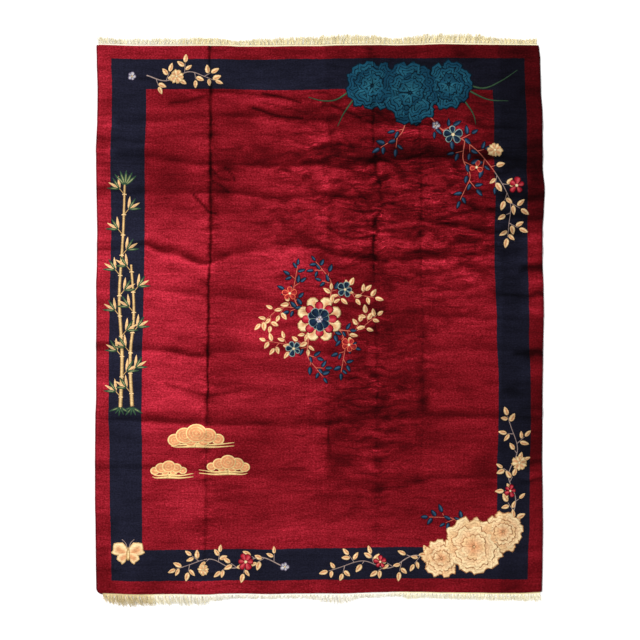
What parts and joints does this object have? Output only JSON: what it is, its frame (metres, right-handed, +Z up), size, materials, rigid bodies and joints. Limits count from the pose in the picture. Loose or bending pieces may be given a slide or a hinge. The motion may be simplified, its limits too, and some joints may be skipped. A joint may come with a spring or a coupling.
{
  "type": "hand-knotted pile rug",
  "caption": "Large rectangular hand-knotted wool pile rug, lying flat with soft storage folds, with corded selvedges along its sides and a cotton fringe at each end.",
  "frame": {"origin": "middle of the rug on the floor", "axes": "+X across the rug, +Y along it from its foot to its head, +Z up off the floor"},
  "size_m": [2.4768, 3.1561, 0.024],
  "materials": {
    "pile_wool": "lustrous cut wool pile, deep red field inside a navy border and a red outer guard, with flower and leaf sprays",
    "binding_wool": "deep crimson wool wrapped round the side cords",
    "warp_cotton": "matt cream cotton warp ends and flat-woven web"
  },
  "bodies": {
    "root": {"rug_pile": "pile_wool", "selvedge_left": "binding_wool", "selvedge_right": "binding_wool", "fringe_foot": "warp_cotton", "fringe_head": "warp_cotton"}
  },
  "joints": []
}
